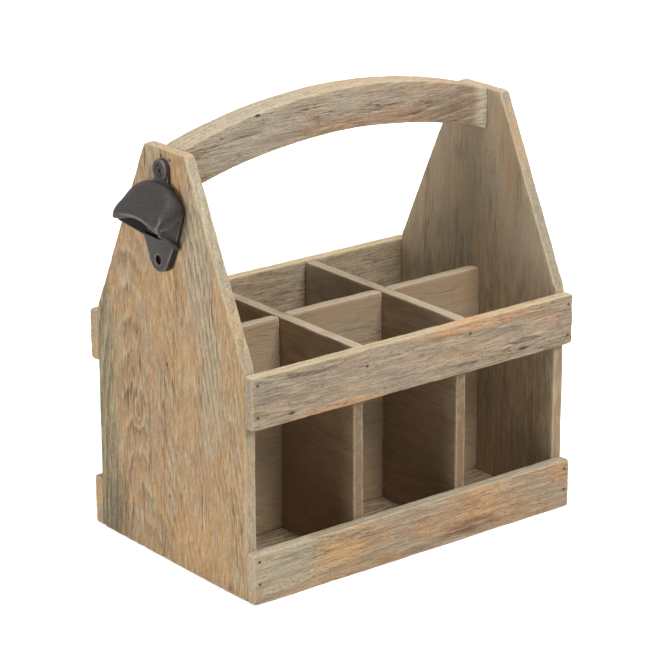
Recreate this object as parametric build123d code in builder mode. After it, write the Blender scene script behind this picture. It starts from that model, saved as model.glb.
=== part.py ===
from build123d import *
import os

# Wooden carrier for six bottles, with a cast iron bottle opener. All sizes are in millimetres.
# X runs along the carrier with the opener at -X, the front is at -Y, and Z = 0 is the floor.

# Carcass: two pointed gables, with slats nailed across their front and back edges
length = 300.0
gable_depth = 181.0
gable_height = 313.0
gable_top_width = 49.0
gable_thickness = 9.5
slat_thickness = 9.5
lower_slat_height = 38.4
upper_slat_height = 38.9
window_height = 93.3
shoulder_rise = 2.4
edge_ease = 0.7
base_thickness = 3.6

# Egg-crate dividers: one along the middle and the others across it, lapped half and half
divider_thickness = 9.0
divider_top_drop = 0.3
lap_clearance = 0.15
bays = 3

# Handle: one arched board between the gables
handle_thickness = 22.0
handle_height = 32.0
handle_rise = 22.0
handle_ease = 1.5

# Pins: headless brads of flattened wire with a chisel point, driven just below the surface
pin_width = 1.9
pin_thickness = 1.5
pin_length = 24.0
base_pin_length = 16.0
pin_point_length = 2.0
pin_set_depth = 0.2
pin_clearance = 0.05

# Opener casting. Drops are measured down from its top, reaches out from the gable's outer face.
opener_top_drop = 6.5
opener_height = 82.0
plate_thickness = 3.2
ear_width = 16.5
ear_screw_drop = 8.5
neck_width = 13.0
neck_drop = 13.5
neck_sink = 1.5
wing_width = 50.0
wing_drop = 29.5
mouth_drop = 35.5
lug_width = 35.0
lug_thickness = 6.5
lug_top_drop = 57.0
lug_shoulder_depth = 4.0
lug_end_radius = 11.0
hood_wall = 3.4
hood_width = 54.0
hood_reach = 26.5
hood_drop = 16.0
hood_corner_radius = 5.0
hood_shoulder_radius = 12.0
lip_drop = 47.5
lip_arch_width = 46.0
lip_arch_rise = 6.5
cast_ease = 1.2

# The stays run from the lip's corners down to the lug, under the hood's open sides. Their sides
# are measured out from the middle and their drops go down to their bottom edges.
stay_thickness = 3.4
stay_height = 5.0
stay_reach = 23.0
stay_lip_side = 26.0
stay_lug_side = 18.0
stay_lip_drop = 46.5
stay_lug_drop = 59.0

# Screws that hold the opener: one countersunk in the ear, one in a pocket in the lug
screw_diameter = 4.0
screw_clearance = 0.15
screw_point_length = 3.0
screw_tip_radius = 0.4
ear_screw_length = 19.0
ear_screw_head_diameter = 9.0
ear_screw_dome = 0.9
lug_screw_length = 11.0
lug_screw_head_diameter = 6.4
lug_screw_head_height = 1.8
lug_pocket_depth = 4.2
lug_screw_rise = 9.0

# How far a cut runs past the surface that it opens
overrun = 1.0

# Places that follow from the sizes
inside_length = length - 2 * gable_thickness
gable_middle = (length - gable_thickness) / 2
slat_face = gable_depth / 2 + slat_thickness
upper_slat_bottom = lower_slat_height + window_height
upper_slat_top = upper_slat_bottom + upper_slat_height
shoulder_height = upper_slat_top + shoulder_rise
divider_height = upper_slat_top - divider_top_drop - base_thickness
lap_height = base_thickness + divider_height / 2
lap_slot = divider_thickness + 2 * lap_clearance
bay_pitch = (inside_length + divider_thickness) / bays
cross_places = [bay_pitch * (n + 1 - bays / 2) for n in range(bays - 1)]
handle_end_bottom = gable_height - handle_height
opener_top = gable_height - opener_top_drop
opener_bottom = opener_top - opener_height
ear_screw_height = opener_top - ear_screw_drop
lug_screw_height = opener_bottom + lug_screw_rise
hood_height = lip_drop - hood_drop
head_cone_height = (ear_screw_head_diameter - screw_diameter) / 2

# Slat pins: (which end, share of the slat's height), uneven as they were driven by hand
upper_slat_pin_shares = ((-1, 0.85), (-1, 0.24), (1, 0.82), (1, 0.2))
lower_slat_pin_shares = ((-1, 0.86), (-1, 0.42), (1, 0.82), (1, 0.38))
# Pins through the upper slats into the cross dividers: shares of the slat's height
cross_pin_shares = (0.67, 0.76)
# Handle pins: (share of its thickness, share of its end height)
handle_pin_shares = ((0.15, 0.83), (-0.32, 0.79))
# Pins into the ends of the long divider: share of its thickness, then shares of its height
divider_pin_side_share = 0.2
divider_pin_shares = (0.9, 0.29)
# Pins up through the base: shares of half its length under the long divider, and of half its
# depth under the cross dividers
base_long_pin_shares = (-0.75, 0.0, 0.75)
base_cross_pin_shares = (-0.6, 0.6)

# The hood's roof line, seen from the side, is two arcs: it rises from the gable to the crest and
# falls to the lip. Each point is (share of its reach, share of its height).
rise_shares = ((0.0, 0.87), (0.14, 0.965), (0.3, 1.0))
fall_shares = ((0.3, 1.0), (0.7, 0.73), (1.0, 0.3))
# The hood's bottom edge rises to this share of its height at the gable
mouth_rise_share = 0.43
# The hood's shoulders, seen from the front, and how much narrower it is at the lip
shoulder_share = 0.76
lip_narrowing_share = 0.03
# The neck runs from the ear out to this share of the hood's reach
neck_reach_share = 0.3
# The flat top of the ear screw's raised head, as a share of the head
dome_top_share = 0.55

below = (Align.CENTER, Align.CENTER, Align.MAX)
above = (Align.CENTER, Align.CENTER, Align.MIN)
pieces = []


def finish(builder, label):
    """Names a finished piece and keeps it for export."""
    builder.part.label = label
    pieces.append(builder.part)


def on_gable(side, y, z, reach=0.0):
    """A plane on a gable's outer face, looking outwards."""
    return Plane(origin=(side * (length / 2 + reach), y, z), x_dir=(0, side, 0), z_dir=(side, 0, 0))


def on_slat(side, x, z):
    """A plane on a slat's outer face, looking outwards."""
    return Plane(origin=(x, side * slat_face, z), x_dir=(-side, 0, 0), z_dir=(0, side, 0))


def under_base(x, y):
    """A plane on the underside of the base, looking down."""
    return Plane(origin=(x, y, 0), x_dir=(1, 0, 0), z_dir=(0, 0, -1))


def along(face):
    """A plane through a fixing's axis: its Y runs out of the face that the fixing goes in by."""
    return Plane(origin=face.origin, x_dir=face.x_dir, z_dir=face.x_dir.cross(face.z_dir))


def drill(faces, depth=pin_length):
    """Cuts the holes that pins driven in from these faces leave."""
    with Locations(*[face.offset(overrun) for face in faces]):
        Box(
            pin_width + 2 * pin_clearance,
            pin_thickness + 2 * pin_clearance,
            depth + overrun + pin_clearance,
            align=below,
            mode=Mode.SUBTRACT,
        )


def drive(faces, label, depth=pin_length):
    """Makes one node of pins, each a flat shank with a chisel point."""
    shank = depth - pin_set_depth - pin_point_length
    with BuildPart() as pins:
        for face in faces:
            head = face.offset(-pin_set_depth)
            with BuildSketch(along(head)):
                with BuildLine():
                    Polyline(
                        (-pin_width / 2, 0),
                        (-pin_width / 2, -shank),
                        (0, -shank - pin_point_length),
                        (pin_width / 2, -shank),
                        (pin_width / 2, 0),
                        close=True,
                    )
                make_face()
            extrude(amount=pin_thickness / 2, both=True)
    finish(pins, label)


# Where the pins go in
def upper_slat_pins(side):
    ends = [
        on_slat(side, end * gable_middle, upper_slat_bottom + share * upper_slat_height)
        for end, share in upper_slat_pin_shares
    ]
    middles = [
        on_slat(side, x, upper_slat_bottom + share * upper_slat_height)
        for x, share in zip(cross_places, cross_pin_shares)
    ]
    return ends + middles


def lower_slat_pins(side):
    return [
        on_slat(side, end * gable_middle, share * lower_slat_height)
        for end, share in lower_slat_pin_shares
    ]


def handle_pins(side):
    return [
        on_gable(side, across * handle_thickness, handle_end_bottom + up * handle_height)
        for across, up in handle_pin_shares
    ]


def divider_pins(side):
    across = divider_pin_side_share * divider_thickness
    return [
        on_gable(side, across, base_thickness + share * divider_height)
        for share in divider_pin_shares
    ]


base_pins = [under_base(share * inside_length / 2, 0) for share in base_long_pin_shares] + [
    under_base(x, share * gable_depth / 2) for x in cross_places for share in base_cross_pin_shares
]
ear_screw_plane = on_gable(-1, 0, ear_screw_height)
lug_screw_plane = on_gable(-1, 0, lug_screw_height)

# Gables: a board whose upper part tapers to a flat top, eased along both outlines
for side, name in ((-1, "left"), (1, "right")):
    with BuildPart() as gable:
        with BuildSketch(Plane.YZ.offset(side * gable_middle)):
            with BuildLine():
                Polyline(
                    (-gable_depth / 2, 0),
                    (gable_depth / 2, 0),
                    (gable_depth / 2, shoulder_height),
                    (gable_top_width / 2, gable_height),
                    (-gable_top_width / 2, gable_height),
                    (-gable_depth / 2, shoulder_height),
                    close=True,
                )
            make_face()
        extrude(amount=gable_thickness / 2, both=True)
        outlines = gable.faces().filter_by(Axis.X).edges()
        chamfer(outlines, edge_ease)
        for face in (-1, 1):
            drill(upper_slat_pins(face) + lower_slat_pins(face))
        drill(handle_pins(side) + divider_pins(side))
        if side < 0:
            with Locations(ear_screw_plane, lug_screw_plane):
                Hole(screw_diameter / 2 + screw_clearance, depth=gable_thickness)
    finish(gable, name + "_gable")

# Slats: two on each side, pinned to the gables' edges, the upper ones to the cross dividers too
for side, name in ((-1, "front"), (1, "back")):
    for level, bottom, height, pins in (
        ("upper", upper_slat_bottom, upper_slat_height, upper_slat_pins(side)),
        ("lower", 0, lower_slat_height, lower_slat_pins(side)),
    ):
        with BuildPart() as slat:
            with Locations((0, side * (gable_depth + slat_thickness) / 2, bottom)):
                Box(length, slat_thickness, height, align=above)
            chamfer(slat.edges().filter_by(Axis.X), edge_ease)
            drill(pins)
        finish(slat, f"{name}_{level}_slat")
        drive(pins, f"{name}_{level}_slat_pins")

# Base: a thin panel let in flush between the gables and the lower slats
with BuildPart() as base:
    Box(inside_length, gable_depth, base_thickness, align=above)
    drill(base_pins, base_pin_length)
finish(base, "base_board")
drive(base_pins, "base_pins", base_pin_length)

# Long divider: slotted from the top for the cross dividers
with BuildPart() as long_divider:
    with Locations((0, 0, base_thickness)):
        Box(inside_length, divider_thickness, divider_height, align=above)
    with Locations(*[(x, 0, lap_height - lap_clearance) for x in cross_places]):
        Box(lap_slot, divider_thickness, divider_height, align=above, mode=Mode.SUBTRACT)
    drill(divider_pins(-1) + divider_pins(1))
    drill(base_pins, base_pin_length)
finish(long_divider, "long_divider")

# Cross dividers: slotted from the bottom, so that they sit down over the long one
for x, name in zip(cross_places, ("left", "right")):
    with BuildPart() as cross_divider:
        with Locations((x, 0, base_thickness)):
            Box(divider_thickness, gable_depth, divider_height, align=above)
            Box(
                divider_thickness,
                lap_slot,
                divider_height / 2 + lap_clearance,
                align=above,
                mode=Mode.SUBTRACT,
            )
        drill(upper_slat_pins(-1) + upper_slat_pins(1))
        drill(base_pins, base_pin_length)
    finish(cross_divider, name + "_cross_divider")

# Handle: a board with parallel arched edges, rounded for the hand
handle_end = inside_length / 2
with BuildPart() as handle:
    with BuildSketch(Plane.XZ):
        with BuildLine():
            ThreePointArc(
                (-handle_end, gable_height), (0, gable_height + handle_rise), (handle_end, gable_height)
            )
            Line((handle_end, gable_height), (handle_end, handle_end_bottom))
            ThreePointArc(
                (handle_end, handle_end_bottom),
                (0, handle_end_bottom + handle_rise),
                (-handle_end, handle_end_bottom),
            )
            Line((-handle_end, handle_end_bottom), (-handle_end, gable_height))
        make_face()
    extrude(amount=handle_thickness / 2, both=True)
    chamfer(handle.edges().filter_by(GeomType.CIRCLE), handle_ease)
    drill(handle_pins(-1) + handle_pins(1))
    with Locations(ear_screw_plane):
        Hole(
            screw_diameter / 2 + screw_clearance,
            depth=ear_screw_length - plate_thickness + screw_clearance,
        )
finish(handle, "handle")

for side, name in ((-1, "left"), (1, "right")):
    drive(handle_pins(side), name + "_handle_pins")
    drive(divider_pins(side), name + "_divider_pins")


def hood_form(inset=0.0, back=0.0, drop=0.0):
    """The hood's outside or, inset by its wall and dropped through its mouth, its hollow.

    It is what the hood's side, front and plan outlines have in common.
    """
    face_x = -length / 2
    lip_bottom = opener_top - lip_drop
    half_width = hood_width / 2 - inset
    lip_half_width = half_width - lip_narrowing_share * hood_width
    rise, fall = [
        [
            (face_x - out * (hood_reach - inset), lip_bottom + up * hood_height - inset)
            for out, up in shares
        ]
        for shares in (rise_shares, fall_shares)
    ]
    with BuildPart() as form:
        with BuildSketch(Plane.XZ):
            with BuildLine():
                ThreePointArc(*rise)
                ThreePointArc(*fall)
                Polyline(
                    fall[-1],
                    (fall[-1][0], lip_bottom - drop),
                    (face_x, lip_bottom + mouth_rise_share * hood_height - drop),
                    rise[0],
                )
            make_face()
        extrude(amount=half_width, both=True)
        with BuildSketch(on_gable(-1, 0, 0, back)) as front:
            with BuildLine():
                shoulder = lip_bottom + shoulder_share * hood_height - inset
                Polyline(
                    (-half_width, shoulder),
                    (-lip_half_width, lip_bottom - drop),
                    (lip_half_width, lip_bottom - drop),
                    (half_width, shoulder),
                )
                ThreePointArc(
                    (half_width, shoulder),
                    (0, lip_bottom + hood_height - inset),
                    (-half_width, shoulder),
                )
            make_face()
            fillet(front.vertices().group_by(Axis.Y)[-1], hood_shoulder_radius - inset)
        extrude(amount=hood_reach - inset - back, mode=Mode.INTERSECT)
        with BuildSketch(Plane.XY.offset(lip_bottom - drop)) as plan:
            with Locations((face_x, 0)):
                Rectangle(hood_reach - inset, 2 * half_width, align=(Align.MAX, Align.CENTER))
            fillet(plan.vertices().group_by(Axis.X)[0], hood_corner_radius - inset)
        extrude(amount=hood_height + drop, mode=Mode.INTERSECT)
    return form.part


def stay_form():
    """Both stays: what their side outline and their plan outline have in common."""
    face_x = -length / 2
    with BuildPart() as stays:
        with BuildSketch(Plane.XZ):
            with BuildLine():
                Polyline(
                    (face_x, opener_top - stay_lug_drop),
                    (face_x - stay_reach, opener_top - stay_lip_drop),
                    (face_x - stay_reach, opener_top - stay_lip_drop + stay_height),
                    (face_x, opener_top - stay_lug_drop + stay_height),
                    close=True,
                )
            make_face()
        extrude(amount=stay_lip_side, both=True)
        with BuildSketch(Plane.XY.offset(opener_top - stay_lug_drop)):
            for side in (-1, 1):
                with BuildLine():
                    Polyline(
                        (face_x, side * stay_lug_side),
                        (face_x - stay_reach, side * stay_lip_side),
                        (face_x - stay_reach, side * (stay_lip_side - stay_thickness)),
                        (face_x, side * (stay_lug_side - stay_thickness)),
                        close=True,
                    )
                make_face()
        extrude(amount=stay_lug_drop - stay_lip_drop + stay_height, mode=Mode.INTERSECT)
    return stays.part


hood_outside = hood_form()
hood_hollow = hood_form(hood_wall, plate_thickness, 2 * overrun)

# Opener: a plate with an ear, a thick lug whose top is the catch, the hollow hood with an arched
# lip, and its stays
with BuildPart() as opener:
    with BuildSketch(on_gable(-1, 0, 0)):
        with Locations((0, opener_bottom + lug_end_radius)):
            Circle(lug_end_radius)
        with Locations((0, opener_top - lug_top_drop)):
            Rectangle(lug_width, lug_shoulder_depth, align=(Align.CENTER, Align.MAX))
        make_hull()
    extrude(amount=lug_thickness)
    fillet(opener.faces().sort_by(Axis.X)[0].edges(), cast_ease)
    with BuildSketch(on_gable(-1, 0, 0)):
        with Locations((0, opener_top - ear_width / 2)):
            Circle(ear_width / 2)
            Rectangle(ear_width, wing_drop, align=(Align.CENTER, Align.MAX))
        with BuildLine():
            Polyline(
                (0, opener_top - hood_drop),
                (-wing_width / 2, opener_top - wing_drop),
                (-wing_width / 2, opener_top - mouth_drop),
                (-lug_width / 2 + cast_ease, opener_top - lug_top_drop - cast_ease),
                (lug_width / 2 - cast_ease, opener_top - lug_top_drop - cast_ease),
                (wing_width / 2, opener_top - mouth_drop),
                (wing_width / 2, opener_top - wing_drop),
                close=True,
            )
        make_face()
    extrude(amount=plate_thickness)
    add(hood_outside)
    with BuildSketch(Plane.XZ):
        with BuildLine():
            Polyline(
                (-length / 2, opener_top - neck_drop),
                (-length / 2 - plate_thickness, opener_top - neck_drop),
                (-length / 2 - neck_reach_share * hood_reach, opener_top - hood_drop - neck_sink),
                (-length / 2, opener_top - hood_drop - neck_sink),
                close=True,
            )
        make_face()
    extrude(amount=neck_width / 2, both=True)
    add(hood_hollow, mode=Mode.SUBTRACT)
    with BuildSketch(on_gable(-1, 0, 0, plate_thickness)):
        with BuildLine():
            ThreePointArc(
                (-lip_arch_width / 2, opener_top - lip_drop),
                (0, opener_top - lip_drop + lip_arch_rise),
                (lip_arch_width / 2, opener_top - lip_drop),
            )
            Polyline(
                (lip_arch_width / 2, opener_top - lip_drop),
                (lip_arch_width / 2, opener_top - lip_drop - overrun),
                (-lip_arch_width / 2, opener_top - lip_drop - overrun),
                (-lip_arch_width / 2, opener_top - lip_drop),
            )
        make_face()
    extrude(amount=hood_reach, mode=Mode.SUBTRACT)
    add(stay_form())
    with Locations(ear_screw_plane.offset(plate_thickness)):
        CounterSinkHole(
            screw_diameter / 2 + screw_clearance,
            ear_screw_head_diameter / 2 + screw_clearance,
            depth=plate_thickness,
            counter_sink_angle=90,
        )
    with Locations(lug_screw_plane.offset(lug_thickness)):
        CounterBoreHole(
            screw_diameter / 2 + screw_clearance,
            lug_screw_head_diameter / 2 + screw_clearance,
            counter_bore_depth=lug_pocket_depth,
            depth=lug_thickness,
        )
finish(opener, "bottle_opener")

# Screws: heads at the ear's face and on the pocket's floor, points in the gable and handle
ear_face = ear_screw_plane.offset(plate_thickness)
with BuildPart() as ear_screw:
    with BuildSketch(along(ear_face)):
        with BuildLine():
            Polyline(
                (0, ear_screw_dome),
                (dome_top_share * ear_screw_head_diameter / 2, ear_screw_dome),
                (ear_screw_head_diameter / 2, 0),
                (screw_diameter / 2, -head_cone_height),
                (screw_diameter / 2, -ear_screw_length + screw_point_length),
                (screw_tip_radius, -ear_screw_length),
                (0, -ear_screw_length),
                close=True,
            )
        make_face()
    revolve(axis=Axis(ear_face.origin, ear_face.z_dir))
finish(ear_screw, "opener_ear_screw")

pocket_floor = lug_screw_plane.offset(lug_thickness - lug_pocket_depth)
with BuildPart() as lug_screw:
    with BuildSketch(along(pocket_floor)):
        with BuildLine():
            Polyline(
                (0, lug_screw_head_height),
                (lug_screw_head_diameter / 2, lug_screw_head_height),
                (lug_screw_head_diameter / 2, 0),
                (screw_diameter / 2, 0),
                (screw_diameter / 2, -lug_screw_length + screw_point_length),
                (screw_tip_radius, -lug_screw_length),
                (0, -lug_screw_length),
                close=True,
            )
        make_face()
    revolve(axis=Axis(pocket_floor.origin, pocket_floor.z_dir))
finish(lug_screw, "opener_lug_screw")

os.makedirs("parts", exist_ok=True)
for piece in pieces:
    export_step(piece, f"parts/{piece.label}.step")
    print(piece.label, len(piece.solids()), round(piece.volume, 1))
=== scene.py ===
import bpy
import bmesh
import math
import numpy as np
from mathutils import Matrix, Vector
from mathutils.bvhtree import BVHTree


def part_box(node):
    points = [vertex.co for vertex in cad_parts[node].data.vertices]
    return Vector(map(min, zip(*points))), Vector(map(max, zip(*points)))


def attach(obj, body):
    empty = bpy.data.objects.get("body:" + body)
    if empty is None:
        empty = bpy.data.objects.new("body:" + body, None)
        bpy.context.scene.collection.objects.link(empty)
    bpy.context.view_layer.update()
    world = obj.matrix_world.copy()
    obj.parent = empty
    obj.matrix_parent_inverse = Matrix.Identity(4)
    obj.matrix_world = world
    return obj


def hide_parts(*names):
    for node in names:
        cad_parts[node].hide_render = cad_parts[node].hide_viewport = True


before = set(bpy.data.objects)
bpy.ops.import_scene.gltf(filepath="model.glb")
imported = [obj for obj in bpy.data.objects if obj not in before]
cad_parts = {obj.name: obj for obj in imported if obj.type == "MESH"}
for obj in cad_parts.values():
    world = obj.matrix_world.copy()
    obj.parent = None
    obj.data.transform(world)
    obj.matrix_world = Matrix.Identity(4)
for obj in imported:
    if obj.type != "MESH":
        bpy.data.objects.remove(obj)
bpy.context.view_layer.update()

# Wooden carrier for six bottles, with a cast iron opener. X runs along it with the opener at -X,
# the front is at -Y and the floor is Z = 0. Blender works in metres, the dictionaries in millimetres.
mm = 0.001
body = "root"
scene = bpy.context.scene


# The photograph's view and a plain pale studio

view = {
    "place": (-1241.66, -1570.97, 833.58),
    "azimuth": -38.309,
    "elevation": 18.956,
    "roll": -0.167,
    "lens": 153.74,
    "sensor": 36.0,
    "sight": 50,               # how far it sees, in metres
}

studio = {
    "floorSize": 12000,
    "floorColour": (200, 199, 196),
    "floorLift": 0.8,          # added for the camera alone, so that the floor reads as white,
    "farLift": 0.7,            # and more of it further out
    "farReach": (350, 1200),
    "floorDrop": 0.02,         # clear of the boards that stand on it
    "skyColour": (1.0, 0.99, 0.975),
    "skyStrength": 0.2,
    "lamps": [
        {"place": (100, -350, 1900), "aim": (0, 0, 120), "width": 1300, "watts": 27},
        {"place": (-1900, 0, 250), "aim": (0, 0, 150), "width": 900, "watts": 23},
        {"place": (200, -1700, 1500), "aim": (0, 0, 110), "width": 700, "watts": 24},
    ],
}


def makeCamera(settings):
    data = bpy.data.cameras.new("camera")
    data.sensor_width = settings["sensor"]
    data.sensor_fit = "HORIZONTAL"
    data.lens = settings["lens"]
    data.clip_end = settings["sight"]
    camera = bpy.data.objects.new("camera", data)
    scene.collection.objects.link(camera)
    turn = Matrix.Rotation(math.radians(settings["azimuth"]), 4, "Z")
    tilt = Matrix.Rotation(math.radians(90 - settings["elevation"]), 4, "X")
    roll = Matrix.Rotation(math.radians(settings["roll"]), 4, "Z")
    camera.matrix_world = Matrix.Translation(Vector(settings["place"]) * mm) @ turn @ tilt @ roll
    scene.camera = camera


def makeLamps(lamps):
    for number, settings in enumerate(lamps):
        data = bpy.data.lights.new(f"softbox_{number}", "AREA")
        data.shape = "DISK"
        data.size = settings["width"] * mm
        data.energy = settings["watts"]
        lamp = bpy.data.objects.new(data.name, data)
        lamp.location = Vector(settings["place"]) * mm
        aim = Vector(settings["aim"]) - Vector(settings["place"])
        lamp.rotation_euler = aim.to_track_quat("-Z", "Y").to_euler()
        scene.collection.objects.link(lamp)


# Node trees. A Wire is a socket that sums can be written with, and a Graph makes the nodes.

class Wire:
    def __init__(self, graph, socket):
        self.graph = graph
        self.socket = socket

    def __add__(self, other):
        return self.graph.maths("ADD", self, other)

    def __radd__(self, other):
        return self.graph.maths("ADD", other, self)

    def __sub__(self, other):
        return self.graph.maths("SUBTRACT", self, other)

    def __rsub__(self, other):
        return self.graph.maths("SUBTRACT", other, self)

    def __mul__(self, other):
        return self.graph.maths("MULTIPLY", self, other)

    def __rmul__(self, other):
        return self.graph.maths("MULTIPLY", other, self)

    def __truediv__(self, other):
        return self.graph.maths("DIVIDE", self, other)

    def __pow__(self, other):
        return self.graph.maths("POWER", self, other)

    def __rpow__(self, other):
        return self.graph.maths("POWER", other, self)

    def __neg__(self):
        return self.graph.maths("MULTIPLY", self, -1)

    def __abs__(self):
        return self.graph.maths("ABSOLUTE", self)


class Graph:
    def __init__(self, tree):
        self.tree = tree

    def node(self, kind, settings, values, output=0):
        made = self.tree.nodes.new(kind)
        for name, value in settings.items():
            setattr(made, name, value)
        for key, value in values.items():
            self.join(value, made.inputs[key])
        return Wire(self, made.outputs[output])

    def join(self, value, socket):
        if isinstance(value, Wire):
            self.tree.links.new(value.socket, socket)
        elif socket.type == "RGBA":
            socket.default_value = (*value, 1)
        else:
            socket.default_value = value

    def maths(self, operation, first, second=0.0):
        return self.node("ShaderNodeMath", {"operation": operation}, {0: first, 1: second})

    def higher(self, first, second):
        return self.maths("MAXIMUM", first, second)

    def step(self, value, low, high):      # 0 below low, 1 above high, smooth between
        values = {"Value": value, "From Min": low, "From Max": high}
        return self.node("ShaderNodeMapRange", {"interpolation_type": "SMOOTHSTEP"}, values)

    def combine(self, x, y, z):
        return self.node("ShaderNodeCombineXYZ", {}, {"X": x, "Y": y, "Z": z})

    def split(self, vector):
        made = self.node("ShaderNodeSeparateXYZ", {}, {"Vector": vector}).socket.node
        return [Wire(self, socket) for socket in made.outputs]

    def vector(self, operation, first, second):
        return self.node("ShaderNodeVectorMath", {"operation": operation}, {0: first, 1: second})

    def scaled(self, vector, factor):
        return self.node("ShaderNodeVectorMath", {"operation": "SCALE"}, {0: vector, "Scale": factor})

    def noise(self, vector, detail=2.0, roughness=0.5, scale=1.0):
        values = {"Vector": vector, "Scale": scale, "Detail": detail, "Roughness": roughness}
        return self.node("ShaderNodeTexNoise", {}, values)


class Paint(Graph):                        # a material's graph
    def __init__(self, name, specular):
        self.material = bpy.data.materials.new(name)
        self.material.use_nodes = True
        super().__init__(self.material.node_tree)
        self.shader = self.tree.nodes["Principled BSDF"]
        self.shader.inputs["Specular IOR Level"].default_value = specular

    def place(self):                       # object coordinates in millimetres
        here = self.node("ShaderNodeTexCoord", {}, {}, "Object")
        return self.scaled(here, 1 / mm)

    def tint(self, factor, shade, tone):   # lays a tone over the shade
        values = {0: factor, 6: shade, 7: colour(*tone)}
        return self.node("ShaderNodeMix", {"data_type": "RGBA"}, values, 2)

    def bump(self, height, depth, strength=1.0):
        values = {"Height": height, "Distance": depth * mm, "Strength": strength}
        return self.node("ShaderNodeBump", {}, values)

    def mark(self, name):                  # a value that the piece's points carry
        return self.node("ShaderNodeAttribute", {"attribute_name": name}, {}, "Fac")

    def finish(self, values):
        for name, value in values.items():
            self.join(value, self.shader.inputs[name])
        return self.material


def colour(red, green, blue):              # from the 0 to 255 values of a picture
    return tuple(((value / 255 + 0.055) / 1.055) ** 2.4 for value in (red, green, blue))


# Weathered, limewashed softwood. Lengths run along the grain, widths across it.

plainWood = {
    "grain": "xzy",            # the axes that run along, across and through the board
    "seed": 0.0,
    "base": (180, 154, 122),
    "honey": (202, 160, 112),
    "grey": (158, 146, 124),
    "dark": (92, 74, 56),
    "pale": (196, 184, 158),
    "crack": (56, 44, 34),
    "nailStain": (58, 46, 37),
    "honeyAmount": 0.35,
    "greyAmount": 0.5,
    "sizes": {},               # a noise's own length and width, where woodNoises doesn't suit
    "pith": (8, 46),           # where the heart of the log lay, across and behind the board
    "pithLean": 0.03,
    "ringWidth": 5.0,
    "ringStrength": 0.4,
    "figured": [],             # where the ring lines are bold: along, across, half length, half width
    "waviness": 9,
    "fibreStrength": 0.5,
    "dashStrength": 0.5,
    "crackStrength": 0.5,
    "washStrength": 0.35,
    "arrisTone": (196, 178, 146),
    "arrisStrength": 0.45,
    "faces": [],               # the direction that a face looks in, colour, strength
    "stainsAndShade": [],              # along, across, half length, half width, colour, strength
    "knots": [],               # along, across, radius, colour, strength
    "marks": [],               # along, across and shape of stained nail holes: below 1 is longer
    "bump": 0.45,
}

# The wood's noises: length, width, detail, roughness, and the shift that sets each one apart
woodNoises = {
    "sway": (150, 45, 1, 0.5, 3.1),
    "ripple": (26, 9, 2, 0.5, 7.7),
    "drift": (300, 3.2, 1, 0.5, 12),
    "boldness": (110, 24, 1, 0.5, 15),
    "fibre": (18, 0.85, 2, 0.7, 21),
    "coarse": (40, 2.4, 2, 0.6, 24),
    "dashes": (7, 0.9, 1, 0.5, 27),
    "dashRegion": (32, 9, 1, 0.5, 28),
    "cracks": (80, 4.6, 3, 0.6, 30),
    "crackRegion": (60, 13, 1, 0.5, 33),
    "honeyPatch": (42, 22, 4, 0.66, 36),
    "greyPatch": (60, 18, 4, 0.66, 39),
    "ragged": (24, 7, 3, 0.6, 42),
    "rubbing": (9, 2.5, 2, 0.5, 45),
}

# Where each mark begins to show and where it is full
woodSteps = {
    "knot": (0.05, 0.3),
    "lateWood": (0.35, 0.9),
    "lineEnd": (0.9, 1.0),
    "paleLine": (0.04, 0.34),
    "boldness": (0.42, 0.7),
    "broadFace": (0.5, 0.8),
    "dashes": (0.58, 0.7),
    "dashRegion": (0.3, 0.62),
    "crackWidth": (0.004, 0.02),
    "crackRegion": (0.5, 0.66),
    "face": (0.9, 0.97),
    "wash": (0.5, 0.62),
    "arris": (0.3, 2.3),
    "nailStain": (0.6, 1.6),
}


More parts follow.
